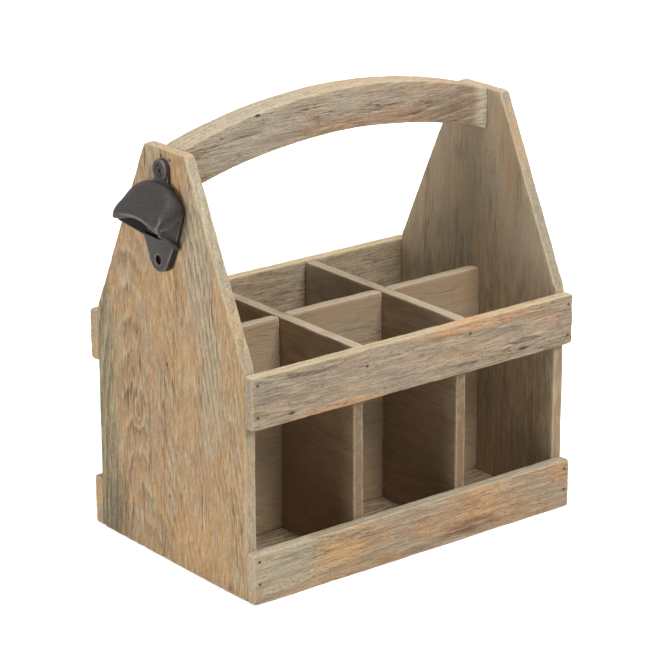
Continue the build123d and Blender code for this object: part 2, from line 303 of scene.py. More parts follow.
def woodMaterial(name, choices):
    look = {**plainWood, **choices}
    paint = Paint(name, 0.2)
    axes = dict(zip("xyz", paint.split(paint.place())))
    along, across, through = [axes[letter] for letter in look["grain"]]
    seed = look["seed"]

    def grain(kind, over=across):
        length, width, detail, roughness, shift = woodNoises[kind]
        length, width = look["sizes"].get(kind, (length, width))
        place = paint.combine(
            along / length + (seed + shift), over / width + seed * 0.7, through / width + shift
        )
        return paint.noise(place, detail, roughness)

    def step(kind, value):
        return paint.step(value, *woodSteps[kind])

    def distance(first, second):
        return (first * first + second * second) ** 0.5

    def patch(spot, softness=0.55):        # a ragged oval, 1 in its middle
        edge = distance((along - spot[0]) / spot[2], (across - spot[1]) / spot[3]) + ragged
        return 1 - paint.step(edge, 1 - softness, 1 + softness)

    # The grain wanders, and the ring lines with it, round each knot too
    waviness = look["waviness"]
    sway = (grain("sway") - 0.5) * waviness
    ripple = (grain("ripple") - 0.5) * (0.14 * waviness)
    flowing = across + sway + ripple
    ragged = (grain("ragged") - 0.5) * 1.8
    pithAcross, pithBehind = look["pith"]
    lean = along * look["pithLean"]
    radius = distance(flowing - pithAcross - lean, through + pithBehind + lean * 1.5)
    hearts = []
    for knotAlong, knotAcross, size, *heart in look["knots"]:
        runs = (along - knotAlong) / (size * 2.1)
        spans = (across + ripple - knotAcross) / size
        reach = runs * runs + spans * spans
        radius = radius + 0.4 ** reach * (1.7 * size)
        hearts.append((1 - step("knot", reach), *heart))

    # Ring lines: early wood that darkens towards each sharp late-wood line
    phase = paint.maths("FRACT", radius / look["ringWidth"] + grain("drift", flowing) * 0.8)
    bold = step("boldness", grain("boldness")) * 0.5 + 0.12
    for spot in look["figured"]:
        bold = paint.higher(bold, patch(spot))
    rings = step("lateWood", phase) * (1 - step("lineEnd", phase)) * bold
    paleLines = (1 - step("paleLine", phase)) * bold

    # Fibres, short dark dashes and long drying cracks, which the board's narrow edges lack
    facing = paint.node("ShaderNodeNewGeometry", {}, {}, "Normal")
    looks = dict(zip("xyz", paint.split(facing)))
    broadFace = step("broadFace", abs(looks[look["grain"][2]]))
    fibre = grain("fibre", flowing)
    coarse = grain("coarse", flowing)
    dashRegion = step("dashRegion", grain("dashRegion")) * 0.8 + 0.2
    dashes = step("dashes", grain("dashes", flowing)) * dashRegion * (broadFace * 0.7 + 0.3)
    cracks = 1 - step("crackWidth", abs(grain("cracks", flowing) - 0.5))
    cracks = cracks * step("crackRegion", grain("crackRegion")) * broadFace

    # Tones in soft patches: sanded honey, weathered grey, and listed stains, some of them painted shade
    shade = colour(*look["base"])
    for tone, strength in (("honey", 1), ("grey", 0.85)):
        level = 0.68 - 0.36 * look[tone + "Amount"]
        cover = paint.step(grain(tone + "Patch"), level - 0.13, level + 0.13)
        shade = paint.tint(cover * strength, shade, look[tone])
    for direction, tone, strength in look["faces"]:
        values = {0: facing, 1: direction}
        turned = paint.node("ShaderNodeVectorMath", {"operation": "DOT_PRODUCT"}, values, "Value")
        shade = paint.tint(step("face", turned) * strength, shade, tone)
    for *spot, tone, strength in look["stainsAndShade"]:
        shade = paint.tint(patch(spot) * strength, shade, tone)

    # The lines and dashes are dark, and the limewash lies on the high fibres
    shade = paint.tint(rings * look["ringStrength"], shade, look["dark"])
    shade = paint.tint(paleLines * (0.8 * look["ringStrength"]), shade, look["pale"])
    speck = paint.noise(paint.combine(along / 2.2, across / 1.1, through / 1.1), 1.0) - 0.5
    unevenness = (fibre - 0.5) * 2.6 + (coarse - 0.5) * 0.6 + speck * 1.3
    shade = paint.scaled(shade, 1 + unevenness * look["fibreStrength"])
    wash = step("wash", fibre * 0.6 + coarse * 0.4) * look["washStrength"]
    shade = paint.tint(wash, shade, look["pale"])
    shade = paint.tint(dashes * look["dashStrength"], shade, look["dark"])
    shade = paint.tint(cracks * look["crackStrength"], shade, look["crack"])

    # Handled arrises are rubbed, knots have dark hearts, and nails leave small stains
    rubbed = 1 - step("arris", paint.mark("arris") / mm + (grain("rubbing") - 0.5) * 3)
    shade = paint.tint(rubbed * look["arrisStrength"], shade, look["arrisTone"])
    for core, tone, strength in hearts:
        shade = paint.tint(core * strength, shade, tone)
    stained = None
    for markAlong, markAcross, shape in look["marks"]:
        stain = 1 - step("nailStain", distance((along - markAlong) * shape, across - markAcross))
        stained = stain if stained is None else paint.higher(stained, stain)
    if stained is not None:
        shade = paint.tint(stained * 0.85, shade, look["nailStain"])
    height = fibre * 0.4 + coarse * 0.4 - rings * 0.25 - cracks * 0.9 - dashes * 0.4
    return paint.finish({
        "Base Color": shade,
        "Roughness": 0.88 - wash * 0.08 - rings * 0.06,
        "Normal": paint.bump(height, look["bump"]),
    })


# Boards: an outline with rounded arrises, cut into a fine grid, then worn by a node tree

carcass = {
    "gableTopWidth": 49.0,
    "shoulder": 173.0,
    "handleDepth": 32.0,
    "handleRise": 22.0,
    "handlePieces": 61,        # how many straight runs each arc has
    "lapWidth": 9.3,
    "rounding": 0.8,
    "roundingSegments": 3,
    "roundingProfile": 0.55,
    "grid": 2.5,               # the boards' faces are about this long, so that they can wear
    "arrisReach": 2.6,
    "arrisWear": 0.6,
    "cornerReach": 6.5,
    "cornerWear": 0.5,
    "ripple": 0.12,
    "stretch": 0.25,           # of the wear, along the grain
    "broadNoise": (2.0, 0.5, 28.0),        # detail, roughness, scale
    "chipNoise": (3.0, 0.65, 130.0),
    "chipStep": (0.4, 0.75),   # where the noise begins to count and where it counts in full
    "rippleStep": (0.25, 0.75),
}

toSpace = {                                # plane coordinates and depth to space
    "x": lambda a, b, depth: (depth, a, b),
    "y": lambda a, b, depth: (a, depth, b),
    "z": lambda a, b, depth: (a, b, depth),
}


def closed(points):
    # the straight runs of a closed outline
    return [[point, points[(n + 1) % len(points)]] for n, point in enumerate(points)]


def wallBetween(shell, first, second):
    for n in range(len(first)):
        m = (n + 1) % len(first)
        shell.faces.new((first[n], first[m], second[m], second[n]))


def everything(shell):
    return shell.verts[:] + shell.edges[:] + shell.faces[:]


def arrisDistances(points, sides, low, high):
    # each point's distance to every face of the board, nearest first
    columns = [np.abs(points[:, 2] - low), np.abs(points[:, 2] - high)]
    for side in sides:
        nearest = np.full(len(points), 1e9)
        for start, end in zip(side[:-1], side[1:]):
            start, end = np.array(start, float), np.array(end, float)
            run = end - start
            share = np.clip(((points[:, :2] - start) @ run) / (run @ run), 0, 1)
            gap = np.linalg.norm(points[:, :2] - (start + share[:, None] * run), axis=1)
            nearest = np.minimum(nearest, gap)
        columns.append(nearest)
    return np.sort(np.array(columns), axis=0)


def addMark(mesh, name, values):
    attribute = mesh.attributes.new(name, "FLOAT", "POINT")
    attribute.data.foreach_set("value", values)


def boardMesh(name, sides, low, high, axis):
    place = toSpace[axis]
    outline = [point for side in sides for point in side[:-1]]
    board = bmesh.new()
    bottom = [board.verts.new(place(a, b, low)) for a, b in outline]
    top = [board.verts.new(place(a, b, high)) for a, b in outline]
    board.faces.new(bottom)
    board.faces.new(top)
    wallBetween(board, bottom, top)
    bmesh.ops.recalc_face_normals(board, faces=board.faces)
    sharp = [edge for edge in board.edges if edge.calc_face_angle(0) > 0.5]
    bmesh.ops.bevel(
        board, geom=sharp, offset=carcass["rounding"], segments=carcass["roundingSegments"],
        profile=carcass["roundingProfile"], affect="EDGES", clamp_overlap=True,
    )
    corners = np.array([vert.co for vert in board.verts])
    for direction in range(3):
        start, end = corners[:, direction].min(), corners[:, direction].max()
        normal = Vector([float(direction == n) for n in range(3)])
        count = int((end - start) / carcass["grid"])
        for n in range(1, count):
            level = normal * (start + (end - start) * n / count)
            bmesh.ops.bisect_plane(board, geom=everything(board), plane_co=level, plane_no=normal)
    bmesh.ops.dissolve_degenerate(board, edges=board.edges, dist=0.02)
    mesh = bpy.data.meshes.new(name)
    board.to_mesh(mesh)
    board.free()
    points = np.array([vert.co for vert in mesh.vertices])
    order = {"x": [1, 2, 0], "y": [0, 2, 1], "z": [0, 1, 2]}[axis]
    distances = arrisDistances(points[:, order], sides, low, high)
    addMark(mesh, "arris", distances[1] * mm)
    addMark(mesh, "corner", distances[2] * mm)
    mesh.transform(Matrix.Scale(mm, 4))
    mesh.shade_smooth()
    return mesh


def treeWithSockets(name, sockets):
    tree = bpy.data.node_groups.new(name, "GeometryNodeTree")
    tree.interface.new_socket("Geometry", in_out="OUTPUT", socket_type="NodeSocketGeometry")
    made = {}
    for label, kind in sockets.items():
        made[label] = tree.interface.new_socket(label, in_out="INPUT", socket_type=kind)
    graph = Graph(tree)
    entry = tree.nodes.new("NodeGroupInput")
    wires = {label: Wire(graph, entry.outputs[label]) for label in sockets}
    return tree, graph, wires


def endTree(graph, geometry, material):
    realised = graph.node("GeometryNodeRealizeInstances", {}, {"Geometry": geometry})
    painted = graph.node("GeometryNodeSetMaterial", {}, {"Geometry": realised, "Material": material})
    exit = graph.tree.nodes.new("NodeGroupOutput")
    graph.join(painted, exit.inputs["Geometry"])


def wornBoardTree():
    tree, graph, wires = treeWithSockets("worn board", {
        "Geometry": "NodeSocketGeometry",
        "Stretch": "NodeSocketVector",     # longer along the grain
        "Offset": "NodeSocketVector",
        "Arris Wear": "NodeSocketFloat",
        "Corner Wear": "NodeSocketFloat",
        "Ripple": "NodeSocketFloat",
        "Material": "NodeSocketMaterial",
    })
    here = graph.node("GeometryNodeInputPosition", {}, {})
    facing = graph.node("GeometryNodeInputNormal", {}, {})
    stretched = graph.vector("MULTIPLY", here, wires["Stretch"])
    place = graph.vector("ADD", stretched, wires["Offset"])
    broad = graph.noise(place, *carcass["broadNoise"])
    chips = graph.step(graph.noise(place, *carcass["chipNoise"]), *carcass["chipStep"])
    nearness = {}
    for label in ("arris", "corner"):
        settings = {"data_type": "FLOAT"}
        distance = graph.node("GeometryNodeInputNamedAttribute", settings, {"Name": label})
        nearness[label] = 1 - graph.step(distance, 0.0, carcass[label + "Reach"] * mm)
    arrisLoss = nearness["arris"] * wires["Arris Wear"] * (0.15 + chips)
    cornerLoss = nearness["corner"] ** 2 * wires["Corner Wear"] * (0.5 + broad)
    ripple = graph.step(broad, *carcass["rippleStep"]) * wires["Ripple"]
    loss = arrisLoss + cornerLoss + ripple
    shift = graph.scaled(facing, -loss)
    moved = graph.node("GeometryNodeSetPosition", {}, {"Geometry": wires["Geometry"], "Offset": shift})
    endTree(graph, moved, wires["Material"])
    return tree


def throughTree(thing, tree, values):
    # runs the tree on an object and keeps the result as its plain mesh
    modifier = thing.modifiers.new(tree.name, "NODES")
    modifier.node_group = tree
    for item in tree.interface.items_tree:
        if item.in_out == "INPUT" and item.name in values:
            modifier[item.identifier] = values[item.name]
    evaluated = thing.evaluated_get(bpy.context.evaluated_depsgraph_get())
    mesh = bpy.data.meshes.new_from_object(evaluated)
    thing.modifiers.remove(modifier)
    thing.data = mesh
    return thing


def newPiece(name, mesh):
    piece = bpy.data.objects.new(name, mesh)
    scene.collection.objects.link(piece)
    return piece


def settle(piece, slot, *nodes):
    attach(piece, body)
    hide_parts(*nodes)


def cadSpan(node):
    low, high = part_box(node)
    return [tuple(value / mm for value in corner) for corner in (low, high)]


def rectangle(left, bottom, right, top):
    return closed([(left, bottom), (right, bottom), (right, top), (left, top)])


def gableSides(low, high, topWidth, shoulder):
    return closed([
        (low[1], low[2]), (high[1], low[2]), (high[1], shoulder),
        (topWidth / 2, high[2]), (-topWidth / 2, high[2]), (low[1], shoulder),
    ])


def notchedSides(low, high, notches, fromTop):
    # low and high are the board's corners in its plane, a notch is (middle, width, depth)
    points = []
    edge, inwards = (high[1], -1) if fromTop else (low[1], 1)
    for middle, width, depth in notches:
        points += [
            (middle - width / 2, edge), (middle - width / 2, edge + inwards * depth),
            (middle + width / 2, edge + inwards * depth), (middle + width / 2, edge),
        ]
    far = low[1] if fromTop else high[1]
    return closed([(low[0], edge), *points, (high[0], edge), (high[0], far), (low[0], far)])


def arc(start, apex, end, count):
    # points on the circle through three points, from start to end
    (ax, az), (bx, bz), (cx, cz) = start, apex, end
    d = 2 * (ax * (bz - cz) + bx * (cz - az) + cx * (az - bz))
    a, b, c = ax**2 + az**2, bx**2 + bz**2, cx**2 + cz**2
    middleX = (a * (bz - cz) + b * (cz - az) + c * (az - bz)) / d
    middleZ = (a * (cx - bx) + b * (ax - cx) + c * (bx - ax)) / d
    reach = math.hypot(ax - middleX, az - middleZ)
    first = math.atan2(az - middleZ, ax - middleX)
    last = math.atan2(cz - middleZ, cx - middleX)
    angles = [first + (last - first) * n / count for n in range(count + 1)]
    return [(middleX + reach * math.cos(t), middleZ + reach * math.sin(t)) for t in angles]


honeyTone = (198, 158, 112)
orangeTone = (200, 152, 108)
taupeTone = (150, 136, 118)
greenTone = (136, 130, 106)
mossTone = (104, 98, 78)
ashTone = (182, 172, 148)
strawTone = (198, 178, 142)
brownTone = (156, 118, 90)
endTone = (180, 160, 132)
edgeTone = (184, 168, 142)
shadeTone = (122, 99, 76)

up, front, back = (0, 0, 1), (0, -1, 0), (0, 1, 0)
slope = (0, -0.905, 0.426)     # the front slope of a gable

boards = {
    "left_gable": {
        "pins": ["left_handle_pins", "left_divider_pins"],
        "slot": "gable_wood", "grain": "zyx", "seed": 2.3, "pith": (26, 190), "pithLean": 0.12,
        "base": (172, 140, 109), "honey": (185, 151, 108), "grey": (176, 160, 132),
        "pale": (198, 184, 154), "ringWidth": 4.6, "ringStrength": 0.5,
        "figured": [
            (245, -34, 45, 12), (180, -50, 50, 12), (120, 84, 130, 9), (150, 52, 130, 6),
            (105, 38, 34, 10),
        ],
        "knots": [(106, 40, 4.5, (160, 124, 96), 0.6)],
        "honeyAmount": 0.48, "greyAmount": 0.34, "fibreStrength": 0.4, "dashStrength": 0.3,
        "sizes": {
            "fibre": (9, 0.85), "coarse": (18, 2.4), "honeyPatch": (24, 18), "greyPatch": (26, 15),
        },
        "stainsAndShade": [
            (110, 84, 160, 15, greenTone, 0.75), (20, 74, 32, 15, mossTone, 0.7),
            (245, -36, 60, 14, ashTone, 0.6), (170, -52, 50, 13, ashTone, 0.45),
            (190, -74, 45, 9, (184, 152, 112), 0.6), (230, 0, 34, 14, honeyTone, 0.6),
            (25, -25, 26, 26, honeyTone, 0.6), (110, 50, 60, 12, brownTone, 0.3),
            (292, -12, 12, 12, orangeTone, 0.6), (290, 14, 16, 10, ashTone, 0.5),
        ],
        "faces": [
            (front, edgeTone, 0.8), (back, edgeTone, 0.8), (up, endTone, 0.7),
            (slope, (160, 149, 128), 0.95),
        ],
    },
    "right_gable": {
        "pins": ["right_handle_pins", "right_divider_pins"],
        "slot": "gable_wood", "grain": "zyx", "seed": 5.9, "pith": (-30, -100), "ringWidth": 13,
        "base": (198, 177, 148), "honey": (204, 178, 144), "grey": (186, 172, 148),
        "ringStrength": 0.34, "fibreStrength": 0.2, "dashStrength": 0.15, "crackStrength": 0.2,
        # the first patch makes the gable darker brown towards the bottom
        "stainsAndShade": [(30, 0, 120, 140, (150, 127, 101), 0.85), (274, -40, 44, 12, (188, 148, 108), 0.45)],
        "faces": [
            (front, strawTone, 0.8), (back, strawTone, 0.8), (up, endTone, 0.7),
            (slope, (150, 139, 121), 0.95),
        ],
    },
    "front_upper_slat": {
        "pins": ["front_upper_slat_pins"], "marks": [(-115.7, 138.2, 0.4), (100.2, 138.9, 0.22)],
        "slot": "slat_wood", "grain": "xzy", "seed": 8.2, "pith": (140, 140), "pithLean": 0.05,
        "base": (168, 150, 128), "honey": (176, 150, 122), "grey": (158, 146, 130),
        "ringStrength": 0.5, "crackStrength": 0.6, "dashStrength": 0.55, "ringWidth": 4.2,
        "stainsAndShade": [
            (60, 167, 60, 4, orangeTone, 0.8), (-75, 134, 40, 3, orangeTone, 0.8),
            (125, 158, 18, 6, orangeTone, 0.4), (-120, 152, 30, 12, taupeTone, 0.5),
        ],
        "faces": [(up, (184, 167, 136), 0.85)],
    },
    "front_lower_slat": {
        "pins": ["front_lower_slat_pins"],
        "slot": "slat_wood", "grain": "xzy", "seed": 11.4, "pith": (-20, 140), "pithLean": -0.04,
        "base": (178, 148, 118), "honey": (196, 154, 110), "grey": (162, 146, 124),
        "ringStrength": 0.4, "dashStrength": 0.6, "crackStrength": 0.3, "greyAmount": 0.4,
        "stainsAndShade": [
            (-125, 24, 38, 18, ashTone, 0.8), (-73, 22, 22, 8, honeyTone, 0.9),
            (52, 9, 24, 4, (138, 100, 76), 0.85),
        ],
        "faces": [(up, (150, 144, 124), 0.85)],
    },
    "back_upper_slat": {
        "pins": ["back_upper_slat_pins"],
        "slot": "slat_wood", "grain": "xzy", "seed": 14.8, "pith": (150, -60),
        "faces": [(up, strawTone, 0.85), (front, (170, 154, 130), 0.6)],
    },
    "back_lower_slat": {
        "pins": ["back_lower_slat_pins"],
        "slot": "slat_wood", "grain": "xzy", "seed": 17.1, "pith": (10, -60),
        "faces": [(up, strawTone, 0.6)],
    },
    "base_board": {
        "slot": "base_wood", "grain": "xyz", "seed": 20.5,
        # dark tones: painted shade, for the cells' floor deep inside the carrier
        "base": (122, 104, 84), "grey": (116, 102, 84), "honeyAmount": 0.1, "ringStrength": 0.2,
    },
    "long_divider": {
        "grain": "xzy", "seed": 23.6, "pith": (60, 60),
    },
    "left_cross_divider": {
        "grain": "yzx", "seed": 26.9, "pith": (60, 110),
    },
    "right_cross_divider": {
        "grain": "yzx", "seed": 29.2, "pith": (60, 10),
    },
    "handle": {
        "slot": "handle_wood", "grain": "xzy", "seed": 33.7, "pith": (330, 60),
        "base": (168, 143, 118), "honey": (176, 138, 108), "grey": (160, 150, 132),
        "ringStrength": 0.55, "crackStrength": 0.7, "waviness": 12,
        "knots": [(-76, 327, 2.5, (62, 46, 34), 0.85)],
        "stainsAndShade": [
            (-80, 318, 70, 26, (168, 159, 141), 0.7), (20, 300, 70, 14, (158, 123, 97), 0.7),
            (110, 300, 34, 18, (134, 112, 93), 0.8), (137, 300, 8, 40, (188, 178, 158), 0.85),
        ],
        "faces": [(up, (190, 168, 138), 0.8)],
    },
}

dividerLook = {
    "slot": "divider_wood", "base": (164, 141, 114), "honey": (168, 140, 108), "grey": (158, 141, 117),
    "honeyAmount": 0.3, "greyAmount": 0.4, "ringStrength": 0.12, "ringWidth": 9, "waviness": 16,
    "fibreStrength": 0.17, "dashStrength": 0.06, "crackStrength": 0.0, "washStrength": 0.1,
    "faces": [(up, (172, 158, 136), 0.9)],
}
# Cross dividers: a patch of shadeTone over their lower part is painted shade inside the cells
crossLook = {
    **dividerLook, "fibreStrength": 0.1, "stainsAndShade": [(0, 50, 200, 90, shadeTone, 0.8)],
    "faces": [(up, (172, 158, 136), 0.9), (front, (180, 158, 134), 0.7)],
}
for node in boards:
    if node.endswith("divider"):
        boards[node] = {**(crossLook if "cross" in node else dividerLook), **boards[node]}


def boardShape(node):
    # the outline's sides, the depth that it runs through, and the axis of that depth
    low, high = cadSpan(node)
    if node.endswith("gable"):
        sides = gableSides(low, high, carcass["gableTopWidth"], carcass["shoulder"])
        return sides, low[0], high[0], "x"
    if node == "long_divider":
        notches = []
        for side in ("left", "right"):
            span = cadSpan(side + "_cross_divider")
            notches.append(((span[0][0] + span[1][0]) / 2, carcass["lapWidth"], (high[2] - low[2]) / 2))
        return notchedSides((low[0], low[2]), (high[0], high[2]), notches, True), low[1], high[1], "y"
    if node.endswith("cross_divider"):
        notches = [(0, carcass["lapWidth"], (high[2] - low[2]) / 2)]
        return notchedSides((low[1], low[2]), (high[1], high[2]), notches, False), low[0], high[0], "x"
    if node == "handle":
        depth = carcass["handleDepth"]
        endTop = high[2] - carcass["handleRise"]
        upper = arc((high[0], endTop), (0, high[2]), (low[0], endTop), carcass["handlePieces"])
        start, end = (low[0], endTop - depth), (high[0], endTop - depth)
        lower = arc(start, (0, high[2] - depth), end, carcass["handlePieces"])
        sides = [upper, [upper[-1], lower[0]], lower, [lower[-1], upper[0]]]
        return sides, low[1], high[1], "y"
    if node == "base_board":
        return rectangle(low[0], low[1], high[0], high[1]), low[2], high[2], "z"
    return rectangle(low[0], low[2], high[0], high[2]), low[1], high[1], "y"


def makeBoards():
    tree = wornBoardTree()
    for node, look in boards.items():
        board = newPiece(node + "_wood", boardMesh(node + "_wood", *boardShape(node)))
        choices = {key: value for key, value in look.items() if key in plainWood}
        along, across = ["xyz".index(letter) for letter in look["grain"][:2]]
        choices["marks"] = look.get("marks", []) + [
            (head[along] / mm, head[across] / mm, 0.8)
            for pins in look.get("pins", []) for head in pinHeads(pins)
        ]
        throughTree(board, tree, {
            "Stretch": [carcass["stretch"] if axis == look["grain"][0] else 1.0 for axis in "xyz"],
            "Offset": [look["seed"] * share for share in (1.0, 0.6, 0.3)],
            "Arris Wear": carcass["arrisWear"] * mm,
            "Corner Wear": carcass["cornerWear"] * mm,
            "Ripple": carcass["ripple"] * mm,
            "Material": woodMaterial(node + "_finish", choices),
        })
        settle(board, look["slot"], node)
        print("board", node, len(board.data.polygons))


# Pins: flat brads with a battered head, one instance for each place in the frame

pin = {
    "width": 2.0,
    "thickness": 1.6,
    "shank": 0.8,              # of the head's width and thickness
    "point": 0.12,
    "head": 0.4,
    "lift": 0.2,
    "turn": 0.5,               # how far a pin may stand turned, either way
    "domeSides": 12,
    "domeRings": 6,
    "shankSides": 8,
    "tones": [(70, 62, 55), (48, 37, 29)],
    "nodes": [
        "front_upper_slat_pins", "front_lower_slat_pins",
        "back_upper_slat_pins", "back_lower_slat_pins",
        "left_handle_pins", "right_handle_pins",
        "left_divider_pins", "right_divider_pins", "base_pins",
    ],
}


def islands(node):
    # the corner points of each separate solid of a node
    solid = bmesh.new()
    solid.from_mesh(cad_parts[node].data)
    bmesh.ops.remove_doubles(solid, verts=solid.verts, dist=1e-6)
    solid.verts.ensure_lookup_table()
    waiting = dict.fromkeys(solid.verts)
    found = []
    while waiting:
        island = [waiting.popitem()[0]]
        for vert in island:
            for edge in vert.link_edges:
                other = edge.other_vert(vert)
                if other in waiting:
                    del waiting[other]
                    island.append(other)
        found.append([vert.co.copy() for vert in island])
    solid.free()
    return found


def pinAxis(node):
    # which way the pins of a node look out of the wood
    if node == "base_pins":
        return Vector((0, 0, -1))
    if "slat" in node:
        return Vector((0, -1 if node.startswith("front") else 1, 0))
    return Vector((-1 if node.startswith("left") else 1, 0, 0))


def pinHeads(node):
    # the middles of the pins' heads
    out = pinAxis(node)
    heads = []
    for points in islands(node):
        end = max(point @ out for point in points)
        head = [point for point in points if point @ out > end - 0.1 * mm]
        heads.append(sum(head, Vector()) / len(head))
    return heads


def pinTree():
    tree, graph, wires = treeWithSockets("pins", {
        "Geometry": "NodeSocketGeometry",
        "Width": "NodeSocketFloat",
        "Thickness": "NodeSocketFloat",
        "Head": "NodeSocketFloat",
        "Length": "NodeSocketFloat",
        "Out": "NodeSocketVector",
        "Seed": "NodeSocketInt",
        "Material": "NodeSocketMaterial",
    })
    dome = graph.node("GeometryNodeMeshUVSphere", {}, {
        "Segments": pin["domeSides"], "Rings": pin["domeRings"], "Radius": 0.5,
    })
    flat = graph.combine(wires["Width"], wires["Thickness"], wires["Head"] * 2)
    low = graph.combine(0, 0, -wires["Head"])
    sizes = {"Geometry": dome, "Translation": low, "Scale": flat}
    dome = graph.node("GeometryNodeTransform", {}, sizes)
    shank = graph.node("GeometryNodeMeshCone", {}, {
        "Vertices": pin["shankSides"], "Radius Top": 0.5, "Radius Bottom": pin["point"],
        "Depth": wires["Length"],
    })
    thin = graph.combine(wires["Width"] * pin["shank"], wires["Thickness"] * pin["shank"], 1)
    deep = graph.combine(0, 0, -wires["Length"] - wires["Head"])
    sizes = {"Geometry": shank, "Translation": deep, "Scale": thin}
    shank = graph.node("GeometryNodeTransform", {}, sizes)
    joined = graph.tree.nodes.new("GeometryNodeJoinGeometry")
    for part in (dome, shank):
        graph.join(part, joined.inputs[0])
    points = graph.node("GeometryNodeMeshToPoints", {}, {"Mesh": wires["Geometry"]})
    turns = {2: -pin["turn"], 3: pin["turn"], "Seed": wires["Seed"]}
    spin = graph.node("FunctionNodeRandomValue", {"data_type": "FLOAT"}, turns, 1)
    out = graph.node("FunctionNodeAlignRotationToVector", {"axis": "Z"}, {"Vector": wires["Out"]})
    spun = graph.node(
        "FunctionNodeRotateRotation", {"rotation_space": "LOCAL"},
        {"Rotation": out, "Rotate By": graph.combine(0, 0, spin)},
    )
    placed = graph.node(
        "GeometryNodeInstanceOnPoints", {},
        {"Points": points, "Instance": Wire(graph, joined.outputs[0]), "Rotation": spun},
    )
    endTree(graph, placed, wires["Material"])
    return tree


steel = {
    "specular": 0.5,
    "rustNoise": (3.0, 0.6, 0.9),          # detail, roughness, scale
    "rustStep": (0.42, 0.6),
    "pitNoise": (3.0, 0.6, 2.5),
    "pitDepth": 0.06,
}


def steelMaterial(name, clean, rust):
    paint = Paint(name, steel["specular"])
    place = paint.place()
    spots = paint.step(paint.noise(place, *steel["rustNoise"]), *steel["rustStep"])
    shade = paint.tint(spots, colour(*clean), rust)
    return paint.finish({
        "Base Color": shade,
        "Metallic": 0.75 - spots * 0.6,
        "Roughness": spots * 0.35 + 0.42,
        "Normal": paint.bump(paint.noise(place, *steel["pitNoise"]), steel["pitDepth"]),
    })


def makePins():
    tree = pinTree()
    material = steelMaterial("pin_finish", *pin["tones"])
    for number, node in enumerate(pin["nodes"]):
        out = pinAxis(node)
        low, high = cadSpan(node)
        length = max(high[n] - low[n] for n in range(3) if abs(out[n]) > 0.5)
        mesh = bpy.data.meshes.new(node + "_brads")
        places = sorted(tuple(head + out * pin["lift"] * mm) for head in pinHeads(node))
        mesh.from_pydata(places, [], [])
        brads = newPiece(node + "_brads", mesh)
        throughTree(brads, tree, {
            "Width": pin["width"] * mm, "Thickness": pin["thickness"] * mm, "Head": pin["head"] * mm,
            "Length": (length - 2 * pin["head"]) * mm, "Out": tuple(out), "Seed": number,
            "Material": material,
        })
        settle(brads, "pin_steel", node)
    print("pins ready")


# Opener: a casting. Its pieces are modelled as closed shells, then fused and softened together.

opener = {
    # Heights here are drops from the casting's top, and outlines are (from the middle, drop)
    "plate": 3.2,
    "earHalfWidth": 8.25,
    "earScrewDrop": 8.5,
    "flare": [(8.25, 20.0), (10.5, 22.5), (20, 26.5), (25, 30.5), (25, 35.5), (17.5, 57.0)],
    "lugHalfWidth": 17.5,
    "lugTop": 57.0,
    "lugShoulder": 4.0,
    "lugRadius": 11.0,
    "lugThickness": 6.9,
    "lugCrown": 0.9,
    "pocketRise": 9.0,
    "pocketRadius": 3.35,
    "pocketDepth": 4.2,
    "recessRadius": 5.6,
    "recessDepth": 2.6,
    "screwHole": 2.15,
    "cutPast": 2,              # how far a hole's cutter runs past the casting's back
    "hoodWall": 3.4,
    # Hood, from the gable to the lip: share of the reach, then drops of the crest, of the side's
    # top and of its bottom edge, the half width, and how square its arch is
    "hood": [
        (0.00, 20.0, 34.8, 36.0, 25.0, 1.7),
        (0.12, 17.2, 34.2, 36.8, 26.0, 1.9),
        (0.30, 15.8, 34.4, 38.4, 26.6, 2.2),
        (0.45, 17.0, 35.8, 40.2, 26.9, 2.4),
        (0.60, 20.2, 37.4, 41.9, 27.0, 2.6),
        (0.78, 25.8, 39.2, 43.8, 27.0, 2.7),
        (0.90, 30.6, 38.6, 44.6, 27.0, 3.1),
        (0.97, 34.0, 39.2, 45.0, 27.0, 3.5),
        (1.00, 35.6, 39.8, 45.4, 27.0, 3.6),
    ],
    "bead": 1.7,               # how far the thick lip stands out, and its height over the arch
    "beadHeight": 4.0,
    # Stays, on the far and the near side, from the lug to the lip: reach, distance from the middle,
    # drops of the bottom and of the top edge
    "stays": {
        1: [(1.5, 17.6, 62.0, 43.0), (22.6, 24.6, 46.4, 38.5)],
        -1: [(1.5, 17.2, 63.0, 59.6), (22.6, 24.6, 47.6, 44.5)],
    },
    "stayThickness": 3.0,
    "earThickness": 4.6,
    "rows": 25,
    "columns": 36,
    "sideRows": 4,
    "lipRows": 6,
    "crownCuts": 7,            # on each side of the middle
    # Neck: reach, drop and half width of its arches
    "neck": [(3.2, 13.5, 6.6), (4.6, 15.5, 7.0), (7.0, 17.6, 8.2), (9.5, 20.5, 11.0)],
    "neckPieces": 12,
    "voxel": 0.5,
    "softening": 3,
    "roughCast": 0.16,
    "grainNoise": (2.0, 0.6, 520.0),       # detail, roughness, scale
    "lumpNoise": (2.0, 0.5, 120.0),
    "grainShare": 0.6,         # of the rough cast, and the lumps make up the rest
    "sharpBend": 0.035,        # a point that stands out this far counts as an arris
    "looks": 64,               # in how many directions a point looks for shelter,
    "lookUp": 0.35,            # how steeply at the least,
    "lookOut": 0.15,           # how far out of its own surface,
    "lookFrom": 0.4,           # from how far over it,
    "lookFar": 60,             # and to what distance
    "blurring": 3,             # rounds that spread both marks over their neighbours
}

